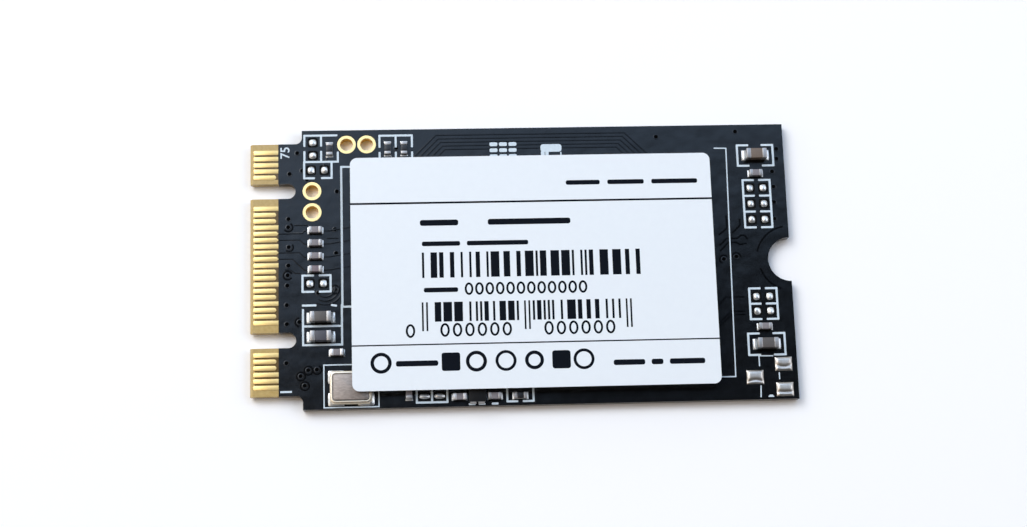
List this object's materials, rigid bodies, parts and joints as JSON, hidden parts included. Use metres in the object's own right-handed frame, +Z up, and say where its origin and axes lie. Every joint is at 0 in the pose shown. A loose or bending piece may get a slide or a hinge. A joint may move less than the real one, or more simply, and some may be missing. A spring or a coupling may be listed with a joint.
{
  "type": "gumstick solid state drive",
  "caption": "Short keyed circuit board with a gold contact edge, a half-round screw notch, chips under a white label and small parts around it: a plug-in storage drive.",
  "frame": {"origin": "middle of the board's underside, on the surface that it lies on", "axes": "+X along the board from the contact edge to the screw notch, +Y across it, +Z up out of the chip side"},
  "size_m": [0.042, 0.022, 0.0019],
  "materials": {
    "solder_mask": "semi-gloss black solder mask",
    "gold": "gold-plated copper",
    "package_mould": "black epoxy moulding",
    "regulator_mould": "dark grey epoxy moulding",
    "label_paper": "smooth white label paper",
    "crystal_ceramic": "fired ceramic base",
    "crystal_lid_metal": "nickel-plated lid",
    "solder": "bright tin solder",
    "tin_plate": "tin-plated chip ends",
    "ceramic_grey": "fired grey ceramic",
    "ceramic_rose": "fired rose-brown ceramic",
    "ceramic_taupe": "fired grey-brown ceramic",
    "ceramic_slate": "fired dark grey ceramic",
    "ceramic_brown": "fired brown ceramic",
    "resistor_glaze": "black glazed resistor face",
    "silkscreen_ink": "printed pale board ink",
    "label_ink": "printed dark label ink"
  },
  "bodies": {
    "root": {"chip_solder_fillets": "solder", "circuit_board": "solder_mask", "clock_capacitor_body": "ceramic_grey", "clock_capacitor_terminals": "tin_plate", "controller_chip": "package_mould", "controller_solder_joints": "solder", "crystal_base": "crystal_ceramic", "crystal_lid": "crystal_lid_metal", "crystal_solder_joints": "solder", "edge_capacitor_1_body": "ceramic_grey", "edge_capacitor_1_terminals": "tin_plate", "edge_capacitor_2_body": "ceramic_grey", "edge_capacitor_2_terminals": "tin_plate", "edge_capacitor_3_body": "ceramic_grey", "edge_capacitor_3_terminals": "tin_plate", "edge_contacts_bottom": "gold", "edge_contacts_top": "gold", "edge_resistor_body": "resistor_glaze", "edge_resistor_terminals": "tin_plate", "empty_land_solder": "solder", "filter_capacitor_1_body": "ceramic_grey", "filter_capacitor_1_terminals": "tin_plate", "filter_capacitor_2_body": "ceramic_grey", "filter_capacitor_2_terminals": "tin_plate", "flash_memory_chip": "package_mould", "flash_solder_joints": "solder", "label": "label_paper", "line_capacitor_1_body": "ceramic_grey", "line_capacitor_1_terminals": "tin_plate", "line_capacitor_2_body": "ceramic_grey", "line_capacitor_2_terminals": "tin_plate", "line_capacitor_3_body": "ceramic_grey", "line_capacitor_3_terminals": "tin_plate", "line_capacitor_4_body": "ceramic_rose", "line_capacitor_4_terminals": "tin_plate", "plated_holes": "gold", "pull_up_resistor_1_body": "resistor_glaze", "pull_up_resistor_1_terminals": "tin_plate", "pull_up_resistor_2_body": "resistor_glaze", "pull_up_resistor_2_terminals": "tin_plate", "pull_up_resistor_3_body": "resistor_glaze", "pull_up_resistor_3_terminals": "tin_plate", "regulator_chip": "regulator_mould", "regulator_solder_joints": "solder", "supply_capacitor_1_body": "ceramic_taupe", "supply_capacitor_1_terminals": "tin_plate", "supply_capacitor_2_body": "ceramic_slate", "supply_capacitor_2_terminals": "tin_plate", "supply_capacitor_3_body": "ceramic_brown", "supply_capacitor_3_terminals": "tin_plate", "supply_capacitor_4_body": "ceramic_taupe", "supply_capacitor_4_terminals": "tin_plate", "transistor_land_solder": "solder"}
  },
  "joints": []
}
